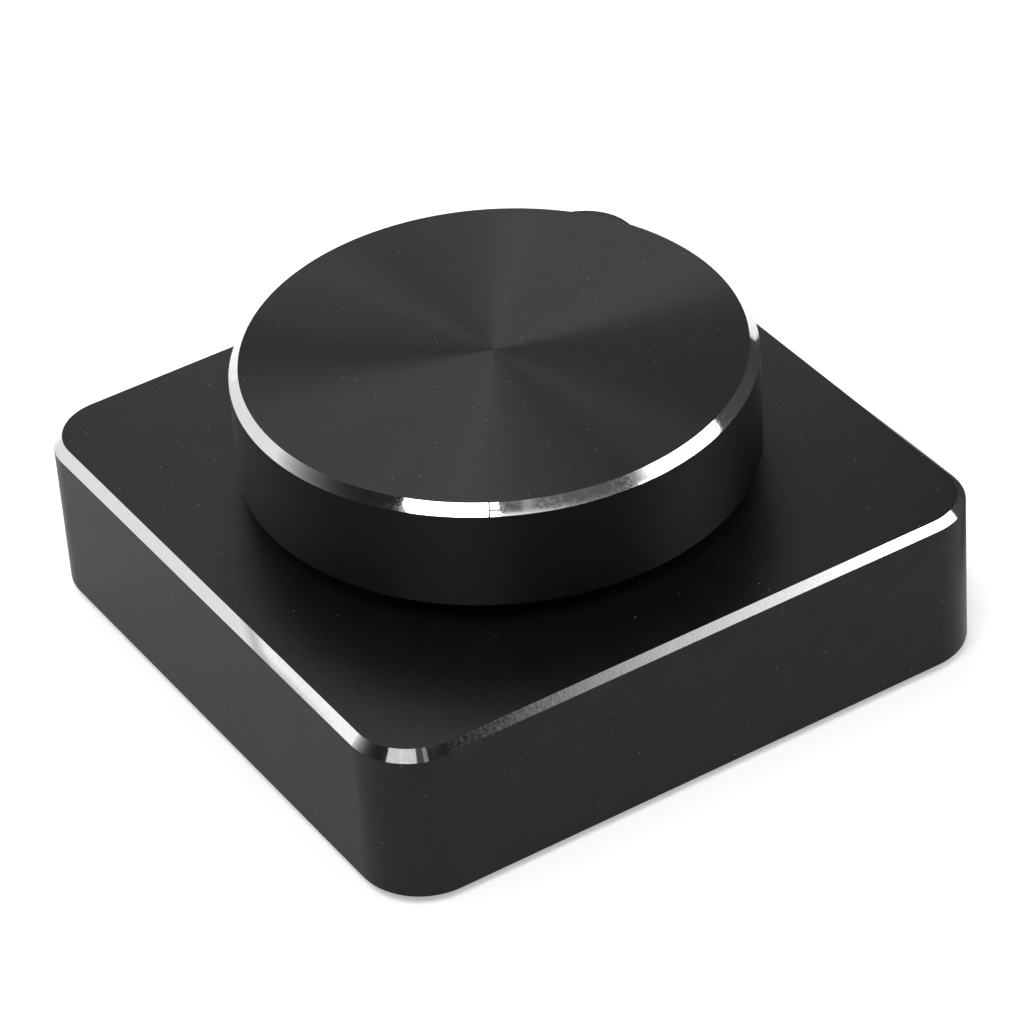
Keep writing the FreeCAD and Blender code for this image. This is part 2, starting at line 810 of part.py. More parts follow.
nodes = [base_housing, bottom_plate, plate_screws, rubber_feet, knob_cap, knob_insert, encoder_shaft,
         encoder_bushing, encoder_washer, encoder_nut, encoder_frame, encoder_body, encoder_rotor,
         encoder_detent_spring, code_ring, encoder_brushes, encoder_terminals, switch_base,
         switch_contacts, switch_dome, circuit_board, board_screws, controller_chip, chip_leads,
         crystal_can, voltage_regulator, surge_diode, bulk_capacitor, chip_capacitors, chip_resistors,
         usb_socket_shell, usb_socket_insulator, usb_socket_contacts]

os.makedirs("parts", exist_ok=True)
for make_node in nodes:
    shape = make_node()
    name = make_node.__name__
    shape.exportStep("parts/" + name + ".step")
    print(name, len(shape.Solids), "solids", round(shape.Volume, 2), "mm3", "valid" if shape.isValid() else "BAD")
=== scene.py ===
"""The looks of the desk volume knob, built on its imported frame, in metres."""

import json
import math

import bmesh
import bpy
from mathutils import Matrix, Vector

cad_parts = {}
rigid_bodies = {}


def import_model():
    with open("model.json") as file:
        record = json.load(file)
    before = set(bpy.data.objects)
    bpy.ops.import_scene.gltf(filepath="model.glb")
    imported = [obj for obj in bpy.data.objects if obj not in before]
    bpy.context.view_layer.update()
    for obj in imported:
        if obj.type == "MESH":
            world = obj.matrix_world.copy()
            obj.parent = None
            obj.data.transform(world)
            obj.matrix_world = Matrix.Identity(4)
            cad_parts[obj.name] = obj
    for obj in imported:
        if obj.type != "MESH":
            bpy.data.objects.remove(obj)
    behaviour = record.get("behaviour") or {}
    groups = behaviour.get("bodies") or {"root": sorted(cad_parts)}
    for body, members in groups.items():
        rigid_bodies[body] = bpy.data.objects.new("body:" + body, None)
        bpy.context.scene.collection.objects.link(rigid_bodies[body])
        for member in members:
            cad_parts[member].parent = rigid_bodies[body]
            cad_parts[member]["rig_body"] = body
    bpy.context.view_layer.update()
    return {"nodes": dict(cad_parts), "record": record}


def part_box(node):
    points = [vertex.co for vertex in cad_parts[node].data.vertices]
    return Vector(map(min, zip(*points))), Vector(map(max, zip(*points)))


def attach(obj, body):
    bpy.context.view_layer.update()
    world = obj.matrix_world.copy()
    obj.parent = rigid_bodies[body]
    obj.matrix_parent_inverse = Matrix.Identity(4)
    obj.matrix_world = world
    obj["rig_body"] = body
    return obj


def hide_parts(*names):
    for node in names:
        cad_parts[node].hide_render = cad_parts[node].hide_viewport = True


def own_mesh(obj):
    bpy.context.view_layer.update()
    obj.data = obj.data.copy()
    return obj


MM = 0.001

# Where the diamond-cut bands are: the height of each band, down from the top of its part.
BASE_BAND = 0.95 * MM
KNOB_BAND = 1.0 * MM

# How much wider than the CAD's the cutter leaves the base's band, by the way that it faces, in degrees.
BAND_DRIFT = (
    (-180, 0.03 * MM),
    (-113, 0.07 * MM),
    (-90.5, -0.18 * MM),
    (-60, -0.18 * MM),
    (0, 0.0),
    (180, 0.03 * MM),
)
CORNER_RADIUS = 7.0 * MM

# How far the other sharp edges are eased, and the angle in degrees from which an edge is sharp.
EDGE_BREAK = 0.04 * MM
SHARP_ANGLE = 30

# The edges below these heights are eased, over the table and over the knob's underside.
BASE_RIM = 1.1 * MM
KNOB_RIM = 0.3 * MM

# The CAD's meshes: corners this close are one, faces that bend less than the first angle are one
# face, and edges that bend more than the second stay sharp. Both are in degrees.
JOIN_GAP = 0.0005 * MM
FLAT_ANGLE = 0.3
SMOOTH_ANGLE = 14

# Heights this close are the same, and a face may reach this far past a limit.
SAME_HEIGHT = 0.005 * MM
SLACK = 0.01 * MM

# How far up the faces point: on a band between these two, and on a level top above the third.
BAND_LEAST_UP = 0.3
BAND_MOST_UP = 0.95
LEVEL_UP = 0.99

# The material numbers on the two aluminium shells.
SIDE = 0
BAND = 1
TOP = 2

# Where the knob's cutter stops, half the line's width there, and how long its run-out is, in
# degrees round the knob. The run-out shows as fine steps.
CUT_END = -123.6
CUT_LINE = 0.2
CUT_RUN_OUT = 2.3
CUT_STEP = 0.16 * MM

# The rougher stretch past the run-out: how long it is and how gently it starts and ends, in degrees.
CHATTER_LENGTH = 34
CHATTER_EASE = 8

# The waves that the knob's cutter leaves, and the lip at the band's lower edge. Down from the top,
# the band turns dull and the lip starts at one height, and it is dullest from another on.
WAVE_DEPTH = 0.002 * MM
LIP_HEIGHT = 0.014 * MM
LIP_START = 0.55 * KNOB_BAND
DULL_END = 0.75 * KNOB_BAND

# Where the painted reflection on the left band changes, by Y, at the meeting of the cutter's two passes, and
# how far that line slants.
PAINTED_REFLECTION_PLACE = -9.9 * MM
PAINTED_REFLECTION_SLANT = 3.0

# The radius of the dust specks.
DUST_SIZE = 0.07 * MM

# Turned lines: their relief, and how they stretch the gloss.
TURNED_DEPTH = 0.002 * MM
TURNED_STRETCH = {"anisotropic": 1.0, "anisotropic_rotation": 0.25}

# Most of a noise's values lie between these.
NOISE_LOW = 0.3
NOISE_HIGH = 0.7

# The darkest and the lightest colour of each surface that isn't plain grey.
BARE_ALUMINIUM = ((0.705, 0.71, 0.715), (0.735, 0.74, 0.745))
KNOB_TOP_DYE = ((0.0025, 0.0025, 0.0026), (0.004, 0.004, 0.0041))
KNOB_SIDE_DYE = ((0.0008, 0.0008, 0.0009), (0.0014, 0.0014, 0.0015))
NICKEL = ((0.6, 0.58, 0.54), (0.68, 0.66, 0.62))
GOLD = ((0.8, 0.6, 0.27), (0.9, 0.7, 0.35))
ENCODER_GREEN = ((0.035, 0.05, 0.045), (0.05, 0.065, 0.06))
ACETAL = ((0.6, 0.59, 0.55), (0.7, 0.69, 0.65))
SOLDER_MASK = ((0.015, 0.09, 0.045), (0.025, 0.12, 0.06))
CERAMIC = ((0.4, 0.28, 0.17), (0.5, 0.37, 0.24))

DUST = (0.16, 0.16, 0.16)
CUT_SHADE = (0.05, 0.05, 0.05)
TABLE_WHITE = (0.86, 0.86, 0.86)
WHITE = (1.0, 1.0, 1.0)

# The camera: what it looks at, from where, and its lens.
CAMERA_TARGET = (0.003335, 0.004367, 0.008145)
CAMERA_DISTANCE = 0.53343
CAMERA_AZIMUTH = -30.306
CAMERA_ELEVATION = 36.594
CAMERA_ROLL = -4.224
CAMERA_LENS = 178.53
CAMERA_SENSOR = 36.0

# The studio: how far the lamp and the screens stand from the object. A screen on a smaller
# radius hides what is behind it.
STUDIO_RADIUS = 2.0
SCREEN_RADIUS = 0.98 * STUDIO_RADIUS
FRONT_RADIUS = 0.96 * STUDIO_RADIUS
INNER_RADIUS = 0.94 * STUDIO_RADIUS
SLIT_RADIUS = 0.92 * STUDIO_RADIUS
NEAR_RADIUS = 0.2
FLAG_RADIUS = 0.055
SCREEN_STEPS = 16

# The table: its size, and the white that it adds where the camera or a reflection sees it.
FLOOR_SIZE = 12.0
FLOOR_LIFT = 0.35


# ---------------------------------------------------------------- node helpers


def put(tree, kind, inputs=None, **settings):
    """A new node with its settings and the values of its unlinked inputs."""
    made = tree.nodes.new(kind)
    for name, value in settings.items():
        setattr(made, name, value)
    for name, value in (inputs or {}).items():
        made.inputs[name].default_value = value
    return made


def feed(tree, target, name, source):
    """Links an output socket to a named input of a node."""
    tree.links.new(source, target.inputs[name])


def new_finish(name, **values):
    """A material with a Principled shader, whose own sockets take the plain values."""
    material = bpy.data.materials.new(name)
    material.use_nodes = True
    shader = material.node_tree.nodes["Principled BSDF"]
    for key, value in values.items():
        socket = shader.inputs[key.replace("_", " ").title().replace("Ior", "IOR")]
        socket.default_value = (*value, 1.0) if isinstance(value, tuple) else value
    return material, material.node_tree, shader


def place(tree):
    """The point on the surface, in metres, where it is at rest."""
    return put(tree, "ShaderNodeTexCoord").outputs["Object"]


def split(tree, vector):
    """The X, Y and Z of a vector, as sockets."""
    parts = put(tree, "ShaderNodeSeparateXYZ")
    feed(tree, parts, "Vector", vector)
    return parts.outputs


def calc(tree, operation, first, second=0.0):
    """One arithmetic step on sockets or numbers."""
    made = put(tree, "ShaderNodeMath", operation=operation)
    for index, value in enumerate((first, second)):
        if isinstance(value, (int, float)):
            made.inputs[index].default_value = value
        else:
            tree.links.new(value, made.inputs[index])
    return made.outputs[0]


def within(tree, value, middle, reach):
    """1 where a value lies within reach of the middle, 0 elsewhere."""
    found = calc(tree, "COMPARE", value, middle)
    found.node.inputs[2].default_value = reach
    return found


def ramp(tree, value, low, high, start=0.0, end=1.0):
    """A value that goes from start to end while another goes from low to high."""
    ends = {"From Min": low, "From Max": high, "To Min": start, "To Max": end}
    made = put(tree, "ShaderNodeMapRange", ends)
    feed(tree, made, "Value", value)
    return made.outputs["Result"]


def grain(tree, size, detail=3.0):
    """Noise with features of about that size, from 0 to 1."""
    made = put(tree, "ShaderNodeTexNoise", {"Scale": 1.0 / size, "Detail": detail})
    feed(tree, made, "Vector", place(tree))
    return made.outputs["Fac"]


def streaks(tree, along, size, detail=2.0):
    """Noise that changes only with one measure, such as a radius or a height."""
    scale = {"Scale": 1.0 / size, "Detail": detail}
    made = put(tree, "ShaderNodeTexNoise", scale, noise_dimensions="1D")
    feed(tree, made, "W", along)
    return made.outputs["Fac"]


def spread(tree, value, low, high):
    """Noise's middle range turned into values from low to high."""
    return ramp(tree, value, NOISE_LOW, NOISE_HIGH, low, high)


def blend(tree, factor, first, second):
    """A colour from first to second, by a factor. Each is a colour or a socket."""
    made = put(tree, "ShaderNodeMix", data_type="RGBA")
    for name, colour in (("A", first), ("B", second)):
        if isinstance(colour, tuple):
            made.inputs[name].default_value = (*colour, 1.0)
        else:
            feed(tree, made, name, colour)
    feed(tree, made, "Factor", factor)
    return made.outputs["Result"]


def tint(tree, value, dark, light):
    """A colour between two, by noise."""
    return blend(tree, spread(tree, value, 0.0, 1.0), dark, light)


def dusty(tree, colour, spacing):
    """The colour, with sparse specks of dust on it."""
    cells = put(tree, "ShaderNodeTexVoronoi", {"Scale": 1.0 / spacing})
    feed(tree, cells, "Vector", place(tree))
    speck = calc(tree, "LESS_THAN", cells.outputs["Distance"], DUST_SIZE / spacing)
    return blend(tree, speck, colour, DUST)


def relief(tree, shader, height, depth):
    """Bump on the shader from a height, of which 1 is that deep in metres."""
    made = put(tree, "ShaderNodeBump", {"Strength": 1.0, "Distance": depth})
    feed(tree, made, "Height", height)
    feed(tree, shader, "Normal", made.outputs["Normal"])


def radius_of(tree):
    """The distance from the knob's axis."""
    axes = split(tree, place(tree))
    across = calc(tree, "POWER", axes["X"], 2.0)
    along = calc(tree, "POWER", axes["Y"], 2.0)
    return calc(tree, "SQRT", calc(tree, "ADD", across, along))


def height_of(tree):
    """The height above the table."""
    return split(tree, place(tree))["Z"]


def turn_of(tree):
    """The angle round the knob's axis from +X, in degrees."""
    axes = split(tree, place(tree))
    return calc(tree, "DEGREES", calc(tree, "ARCTAN2", axes["Y"], axes["X"]))


# ---------------------------------------------------------------- the black aluminium


def blasted_anodise(name, ior, dyes_and_painted_light):
    """Finely blasted black anodised aluminium, on the base; its callers give a lighter copy for the sides
    and a darker copy for the top, as painted light and shade.
    """
    material, tree, shader = new_finish(name, ior=ior)
    dye = tint(tree, grain(tree, 4 * MM), *dyes_and_painted_light)
    feed(tree, shader, "Base Color", dusty(tree, dye, spacing=2.1 * MM))
    feed(tree, shader, "Roughness", spread(tree, grain(tree, 0.3 * MM), 0.32, 0.4))
    relief(tree, shader, grain(tree, 0.22 * MM, detail=4.0), depth=0.025 * MM)
    return material


def turned_gloss(tree, shader, lines, low, high):
    """The gloss and the relief of fine lines that run round the knob's axis."""
    feed(tree, shader, "Roughness", spread(tree, lines, low, high))
    round_axis = put(tree, "ShaderNodeTangent", direction_type="RADIAL", axis="Z")
    feed(tree, shader, "Tangent", round_axis.outputs["Tangent"])
    relief(tree, shader, lines, TURNED_DEPTH)


def turned_anodise():
    """Black anodised aluminium with turned rings, on the knob's top."""
    material, tree, shader = new_finish("turned_anodise", ior=1.35, **TURNED_STRETCH)
    dye = tint(tree, grain(tree, 3 * MM), *KNOB_TOP_DYE)
    feed(tree, shader, "Base Color", dusty(tree, dye, spacing=1.4 * MM))
    rings = streaks(tree, radius_of(tree), 0.18 * MM, detail=1.0)
    turned_gloss(tree, shader, rings, 0.36, 0.44)
    return material


def satin_anodise():
    """Black anodised aluminium with fine turning lines round the knob's side."""
    material, tree, shader = new_finish("satin_anodise", ior=1.3, **TURNED_STRETCH)
    feed(tree, shader, "Base Color", tint(tree, grain(tree, 3 * MM), *KNOB_SIDE_DYE))
    lines = streaks(tree, height_of(tree), 0.2 * MM)
    turned_gloss(tree, shader, lines, 0.6, 0.68)
    return material


# ---------------------------------------------------------------- the bare bands


def painted_band_reflection(tree, top):
    """The scale of the left band's colour, a painted reflection laid along the meeting of the cutter's two
    passes, with 1 away from there.

    The line runs aslant across the band, with a painted darker stretch before it and a painted brighter one
    past it, whose lower edge stays painted darker for a while.
    """
    axes = split(tree, place(tree))
    on_left = calc(tree, "LESS_THAN", axes["X"], 0.0)
    rise = calc(tree, "SUBTRACT", axes["Z"], top - BASE_BAND / 2.0)
    joint = calc(tree, "ADD", PAINTED_REFLECTION_PLACE, calc(tree, "MULTIPLY", rise, PAINTED_REFLECTION_SLANT))
    past = calc(tree, "SUBTRACT", joint, axes["Y"])
    # Painted darker, then painted brighter, then a little darker again: a painted reflection along the band.
    dull = ramp(tree, past, -2.4 * MM, -0.2 * MM, end=-0.32)
    bright = ramp(tree, past, 0.0, 2.6 * MM, end=0.5)
    settled = ramp(tree, past, 4.0 * MM, 11.0 * MM, end=-0.18)
    edge = ramp(tree, rise, -0.4 * BASE_BAND, 0.0, start=-0.4, end=0.0)
    edge = calc(tree, "MULTIPLY", edge, ramp(tree, past, 0.0, 2.0 * MM))
    edge = calc(tree, "MULTIPLY", edge, ramp(tree, past, 7.0 * MM, 16.0 * MM, start=1.0, end=0.0))
    painted_change = calc(tree, "ADD", calc(tree, "ADD", dull, bright), calc(tree, "ADD", settled, edge))
    return calc(tree, "ADD", 1.0, calc(tree, "MULTIPLY", on_left, painted_change))


def cut_aluminium(top):
    """Bare aluminium left bright by a diamond cutter, on the base's band, with a painted reflection in its
    colour on the left band.
    """
    material, tree, shader = new_finish("cut_aluminium", metallic=1.0)
    shade = put(tree, "ShaderNodeVectorMath", operation="SCALE")
    feed(tree, shade, "Vector", tint(tree, grain(tree, 1 * MM), *BARE_ALUMINIUM))
    # The colour is scaled by the painted reflection on the left band.
    feed(tree, shade, "Scale", painted_band_reflection(tree, top))
    feed(tree, shader, "Base Color", shade.outputs["Vector"])
    feed(tree, shader, "Roughness", spread(tree, grain(tree, 0.4 * MM), 0.04, 0.08))
    relief(tree, shader, grain(tree, 0.35 * MM, detail=2.0), depth=0.0015 * MM)
    return material


def cutter_mark(tree):
    """1 on the line where the cutter stops and on the fine steps of its run-out, 0 elsewhere."""
    turn = turn_of(tree)
    line = within(tree, turn, CUT_END, CUT_LINE)
    run_out = within(tree, turn, CUT_END + CUT_RUN_OUT / 2.0, CUT_RUN_OUT / 2.0)
    steps = streaks(tree, height_of(tree), CUT_STEP, detail=0.0)
    dark_steps = calc(tree, "GREATER_THAN", steps, 0.55)
    return calc(tree, "MAXIMUM", line, calc(tree, "MULTIPLY", run_out, dark_steps))


def chattered(tree):
    """1 on the stretch past the cutter's run-out that it left rougher, 0 elsewhere."""
    turn = turn_of(tree)
    start = CUT_END + CUT_RUN_OUT
    begun = ramp(tree, turn, start, start + CHATTER_EASE)
    fade = start + (CHATTER_LENGTH - CHATTER_EASE)
    unfinished = ramp(tree, turn, fade, start + CHATTER_LENGTH, start=1.0, end=0.0)
    return calc(tree, "MULTIPLY", begun, unfinished)


def knob_band_roughness(tree, top):
    """Fine and even, but a little duller near the lower edge and where the cutter chattered."""
    fine = spread(tree, grain(tree, 0.45 * MM), 0.04, 0.08)
    dull = ramp(tree, height_of(tree), top - LIP_START, top - DULL_END, end=0.02)
    rough = spread(tree, grain(tree, 0.3 * MM, detail=2.0), 0.0, 0.14)
    chatter = calc(tree, "MULTIPLY", chattered(tree), rough)
    return calc(tree, "ADD", calc(tree, "ADD", fine, dull), chatter)


def knob_band_height(tree, top):
    """The cutter's waves and the lip at the lower edge, in metres."""
    waves = calc(tree, "MULTIPLY", grain(tree, 0.4 * MM), WAVE_DEPTH)
    lip = calc(tree, "POWER", ramp(tree, height_of(tree), top - LIP_START, top - KNOB_BAND), 2.0)
    return calc(tree, "ADD", waves, calc(tree, "MULTIPLY", lip, LIP_HEIGHT))


def cut_knob_aluminium(top):
    """Bare aluminium on the knob's band, on which the cutter's stop shows."""
    material, tree, shader = new_finish("cut_knob_aluminium", metallic=1.0)
    bright = tint(tree, grain(tree, 1 * MM), *BARE_ALUMINIUM)
    feed(tree, shader, "Base Color", blend(tree, cutter_mark(tree), bright, CUT_SHADE))
    feed(tree, shader, "Roughness", knob_band_roughness(tree, top))
    relief(tree, shader, knob_band_height(tree, top), depth=1.0)
    return material


# ---------------------------------------------------------------- the other finishes


def plain_metal(name, colours, rough, size=0.4 * MM):
    """A metal with a fine uneven surface."""
    material, tree, shader = new_finish(name, metallic=1.0)
    feed(tree, shader, "Base Color", tint(tree, grain(tree, 4 * size), *colours))
    feed(tree, shader, "Roughness", spread(tree, grain(tree, size), *rough))
    relief(tree, shader, grain(tree, size), depth=0.004 * MM)
    return material


def plain_plastic(name, colours, rough, size=0.3 * MM):
    """A moulded plastic or rubber with a fine spark-eroded grain."""
    material, tree, shader = new_finish(name, ior=1.5)
    feed(tree, shader, "Base Color", tint(tree, grain(tree, 6 * size), *colours))
    feed(tree, shader, "Roughness", spread(tree, grain(tree, size), *rough))
    relief(tree, shader, grain(tree, size), depth=0.01 * MM)
    return material


def greys(low, high):
    """A dark and a light neutral colour."""
    return (low, low, low * 1.02), (high, high, high * 1.02)


def make_finishes():
    """Every finish, by the record's slot: its colours, its range of roughness and its grain."""
    return {
        # The base's sides take a lighter copy of its black anodise than its top: painted light.
        "base_anodised": blasted_anodise("blasted_side_painted_lighter", 1.135, greys(0.0205, 0.0235)),
        "knob_anodised": satin_anodise(),
        "plate_coat": plain_plastic("powder_coat", greys(0.02, 0.028), (0.5, 0.6), 0.5 * MM),
        "black_screw_steel": plain_metal("black_zinc", greys(0.05, 0.09), (0.35, 0.5)),
        "foot_rubber": plain_plastic("foot_rubber", greys(0.02, 0.03), (0.75, 0.9)),
        "insert_plastic": plain_plastic("insert_plastic", greys(0.03, 0.04), (0.4, 0.5)),
        "shaft_metal": plain_metal("turned_metal", greys(0.5, 0.62), (0.25, 0.35)),
        "bushing_metal": plain_metal("cast_zinc", greys(0.45, 0.6), (0.35, 0.5)),
        "nut_metal": plain_metal("nickel_plate", NICKEL, (0.2, 0.3)),
        "frame_steel": plain_metal("tinned_sheet", greys(0.5, 0.6), (0.3, 0.45)),
        "encoder_plastic": plain_plastic("encoder_plastic", ENCODER_GREEN, (0.45, 0.6)),
        "rotor_plastic": plain_plastic("acetal", ACETAL, (0.35, 0.5)),
        "contact_metal": plain_metal("gold_plate", GOLD, (0.2, 0.3)),
        "spring_steel": plain_metal("spring_steel", greys(0.5, 0.6), (0.2, 0.35)),
        "lead_tin": plain_metal("tin_plate", greys(0.6, 0.7), (0.35, 0.5), 0.2 * MM),
        "board_laminate": plain_plastic("solder_mask", SOLDER_MASK, (0.25, 0.35)),
        "chip_plastic": plain_plastic("chip_plastic", greys(0.02, 0.03), (0.5, 0.65), 0.1 * MM),
        "crystal_can": plain_metal("crystal_can", greys(0.6, 0.7), (0.25, 0.4)),
        "capacitor_ceramic": plain_plastic("ceramic", CERAMIC, (0.4, 0.5), 0.1 * MM),
        "socket_steel": plain_metal("stainless_sheet", greys(0.5, 0.6), (0.22, 0.34)),
        "socket_plastic": plain_plastic("socket_plastic", greys(0.015, 0.025), (0.4, 0.55), 0.1 * MM),
    }


# ---------------------------------------------------------------- dressing the parts


def slots_by_node(record):
    """The record's slot of each node."""
    return {part["node"]: part["material_slot"] for part in record["subparts"]}


def cover(node, material):
    """Gives every face of a node that material."""
    node.data.materials.clear()
    node.data.materials.append(material)
    for face in node.data.polygons:
        face.material_index = 0


def is_band(face):
    """True for a face of a cut band or chamfer: it leans outward and up."""
    return BAND_LEAST_UP < face.normal.z < BAND_MOST_UP


def lowest_of(face):
    """The height of a face's lowest corner."""
    return min(vertex.co.z for vertex in face.verts)


def near(value, other):
    """True for two heights that are the same but for rounding."""
    return abs(value - other) < SAME_HEIGHT


def clean_copy(node):
    """The node's surface with its split corners joined and its flat faces whole."""
    shape = bmesh.new()
    shape.from_mesh(node.data)
    bmesh.ops.remove_doubles(shape, verts=shape.verts, dist=JOIN_GAP)
    flat = math.radians(FLAT_ANGLE)
    bmesh.ops.dissolve_limit(shape, angle_limit=flat, verts=shape.verts, edges=shape.edges)
    shape.normal_update()
    return shape


def mark_materials(shape, top, band_depth):
    """Tells the cut band and the flat top from the rest, which is side."""
    for face in shape.faces:
        face.material_index = SIDE
        if is_band(face) and lowest_of(face) > top - band_depth - SLACK:
            face.material_index = BAND
        if face.normal.z > LEVEL_UP and near(lowest_of(face), top):
            face.material_index = TOP


def facing(point, core):
    """The way out of a rounded square from a point at its rim, in the plane.

    The straight part of each side reaches core from its middle. A circle's core is 0.
    """
    middle = Vector((max(-core, min(core, point.x)), max(-core, min(core, point.y)), 0.0))
    return (Vector((point.x, point.y, 0.0)) - middle).normalized()


def drift(way):
    """How much wider than the CAD's the base's band is where it faces that way."""
    turn = math.degrees(math.atan2(way.y, way.x))
    for (low, start), (high, end) in zip(BAND_DRIFT, BAND_DRIFT[1:]):
        if low <= turn <= high:
            share = (turn - low) / (high - low)
            return start + (end - start) * share * share * (3.0 - 2.0 * share)
    return 0.0


def drift_band(shape, top, core):
    """Moves the band's two edges to where the cutter left them."""
    rim = {vertex for face in shape.faces if face.material_index == BAND for vertex in face.verts}
    for vertex in rim:
        way = facing(vertex.co, core)
        if near(vertex.co.z, top):
            vertex.co -= way * drift(way)
        else:
            vertex.co.z -= drift(way)
    shape.normal_update()


def is_sharp_side(edge):
    """True for a sharp edge between two faces of the side."""
    if len(edge.link_faces) != 2 or edge.calc_face_angle() <= math.radians(SHARP_ANGLE):
        return False
    return all(face.material_index == SIDE for face in edge.link_faces)


def ease_outer_edges(shape, is_outer):
    """Takes the sharpness off the side's edges that are seen from outside."""
    edges = [edge for edge in shape.edges if is_sharp_side(edge) and is_outer(edge)]
    bmesh.ops.bevel(shape, geom=edges, offset=EDGE_BREAK, offset_type="OFFSET", segments=3,
                    profile=0.5, affect="EDGES", material=SIDE, loop_slide=True)


def cone_normal(point, core):
    """The way that a band cut at 45 degrees faces at that point."""
    return (facing(point, core) + Vector((0.0, 0.0, 1.0))).normalized()


def smooth(mesh, core):
    """Shades round faces smoothly, flat faces flat, and the cut band as the true cone that it is."""
    for face in mesh.polygons:
        face.use_smooth = True
    mesh.set_sharp_from_angle(angle=math.radians(SMOOTH_ANGLE))
    normals = [Vector()] * len(mesh.loops)
    for face in mesh.polygons:
        if face.material_index == BAND:
            for corner in face.loop_indices:
                point = mesh.vertices[mesh.loops[corner].vertex_index].co
                normals[corner] = cone_normal(point, core)
    mesh.normals_split_custom_set(normals)


def stand_in(node, name, mesh):
    """A piece with that mesh, which rides with the node's body and stands for the node."""
    piece = bpy.data.objects.new(name, mesh)
    bpy.context.scene.collection.objects.link(piece)
    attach(piece, node["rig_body"])
    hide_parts(node.name)
    return piece


def aluminium_piece(node, name, band_depth, materials, is_outer, core=0.0):
    """A finely finished copy of an aluminium part, which stands for its node.

    The materials are those of its side, its band and its top. A core says that it is a rounded
    square, whose band has drifted.
    """
    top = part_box(node.name)[1].z
    shape = clean_copy(node)
    mark_materials(shape, top, band_depth)
    if core:
        drift_band(shape, top, core)
    ease_outer_edges(shape, is_outer)
    mesh = bpy.data.meshes.new(name)
    shape.to_mesh(mesh)
    shape.free()
    for material in materials:
        mesh.materials.append(material)
    smooth(mesh, core)
    stand_in(node, name, mesh)


def make_base_shell(node, materials):
    """The base housing, with its cut band and eased edges."""
    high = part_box(node.name)[1]

    def is_outer(edge):
        """True at the lower rim and on the rear wall, round the socket's opening."""
        middle = (edge.verts[0].co + edge.verts[1].co) / 2.0
        return middle.z < BASE_RIM or middle.y > high.y - SLACK

    core = high.x - CORNER_RADIUS
    aluminium_piece(node, "base_shell", BASE_BAND, materials, is_outer, core)


def make_knob_shell(node, materials):
    """The knob, with its cut band and eased edges."""
    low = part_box(node.name)[0]

    def is_outer(edge):
        """True at the lower rim."""
        return edge.verts[0].co.z < low.z + KNOB_RIM

    aluminium_piece(node, "knob_shell", KNOB_BAND, materials, is_outer)


def make_snap_dome(node):
    """The push switch's spring dome, which the shaft flattens on the real switch, as its own copy that
    stands for its node; the copy keeps its shape when the knob is pressed.
    """
    dome = stand_in(node, "snap_dome", node.data.copy())
    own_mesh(dome)


def dress(nodes, finishes, record):
    """Every CAD node takes its finish, and the aluminium parts their cut bands."""
    slots = slots_by_node(record)
    for name, node in nodes.items():
        cover(node, finishes[slots[name]])
    # The base's top takes a darker copy of the same black anodise than its sides: painted shade.
    base_top_painted_darker = blasted_anodise("blasted_top_painted_darker", 1.26, greys(0.003, 0.0045))
    base_band = cut_aluminium(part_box("base_housing")[1].z)
    make_base_shell(nodes["base_housing"], (finishes["base_anodised"], base_band, base_top_painted_darker))
    knob_band = cut_knob_aluminium(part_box("knob_cap")[1].z)
    make_knob_shell(nodes["knob_cap"], (finishes["knob_anodised"], knob_band, turned_anodise()))
    make_snap_dome(nodes["switch_dome"])


# ---------------------------------------------------------------- the studio


def direction(azimuth, elevation):
    """A unit vector: azimuth turns from +X to +Y, elevation rises from the floor."""
    a = math.radians(azimuth)
    e = math.radians(elevation)
    return Vector((math.cos(a) * math.cos(e), math.sin(a) * math.cos(e), math.sin(e)))


def angular(extent):
    """The length that spans that many degrees at the studio's radius."""
    return 2.0 * STUDIO_RADIUS * math.tan(math.radians(extent / 2.0))


def soft_lamp(name, azimuth, elevation, width, height, level):
    """An area lamp that spans width by height degrees and adds level to what is seen behind it."""
    lamp = bpy.data.lights.new(name, "AREA")
    lamp.shape = "RECTANGLE"
    lamp.size = angular(width)
    lamp.size_y = angular(height)
    lamp.energy = level * math.pi * lamp.size * lamp.size_y
    body = bpy.data.objects.new(name, lamp)
    way = direction(azimuth, elevation)
    turn = way.to_track_quat("Z", "Y").to_matrix().to_4x4()
    body.matrix_world = Matrix.Translation(way * STUDIO_RADIUS) @ turn
    bpy.context.scene.collection.objects.link(body)
    body.visible_camera = False


def screen_material(name, start, end, power):
    """A glow whose level goes from start to end along the screen's azimuth."""
    material = bpy.data.materials.new(name)
    material.use_nodes = True
    tree = material.node_tree
    tree.nodes.clear()
    across = split(tree, put(tree, "ShaderNodeTexCoord").outputs["UV"])["X"]
    level = ramp(tree, calc(tree, "POWER", across, power), 0.0, 1.0, start, end)
    glow = put(tree, "ShaderNodeEmission")
    feed(tree, glow, "Strength", level)
    finish = put(tree, "ShaderNodeOutputMaterial")
    feed(tree, finish, "Surface", glow.outputs["Emission"])
    return material


